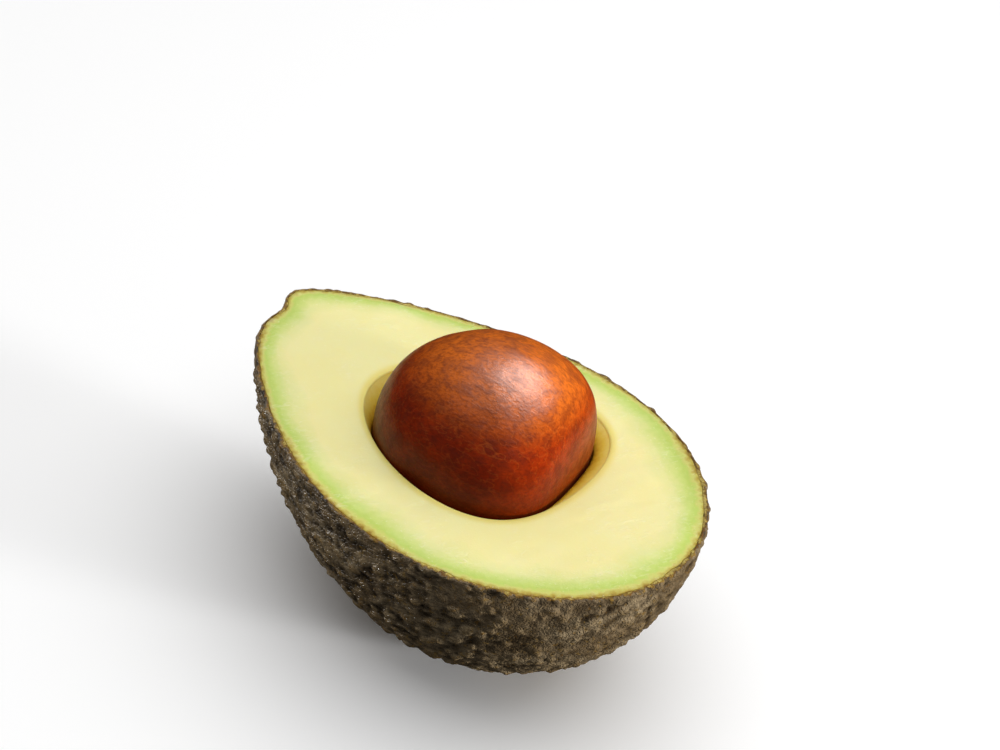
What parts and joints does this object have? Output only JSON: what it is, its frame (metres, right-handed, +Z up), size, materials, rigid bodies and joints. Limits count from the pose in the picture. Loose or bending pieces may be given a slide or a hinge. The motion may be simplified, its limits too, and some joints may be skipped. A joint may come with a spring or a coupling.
{
  "type": "halved avocado",
  "caption": "Ripe avocado half, cut lengthwise, lying on its back with a pebbled skin and its round seed standing out of the level cut face.",
  "frame": {"origin": "middle of the fruit's footprint, on the surface that it rests on", "axes": "+X along the fruit from the stem end to the broad end, +Z up, straight out of the level cut face"},
  "size_m": [0.1, 0.0708, 0.0584],
  "materials": {
    "skin": "pebbled dark brown-green peel, waxy and half glossy, tan where it is cut",
    "flesh": "moist soft flesh, cream yellow in the middle and green towards the skin",
    "seed": "satin red-brown seed coat with a fine net of lighter veins"
  },
  "bodies": {
    "root": {"skin": "skin", "flesh": "flesh", "seed": "seed"}
  },
  "joints": []
}
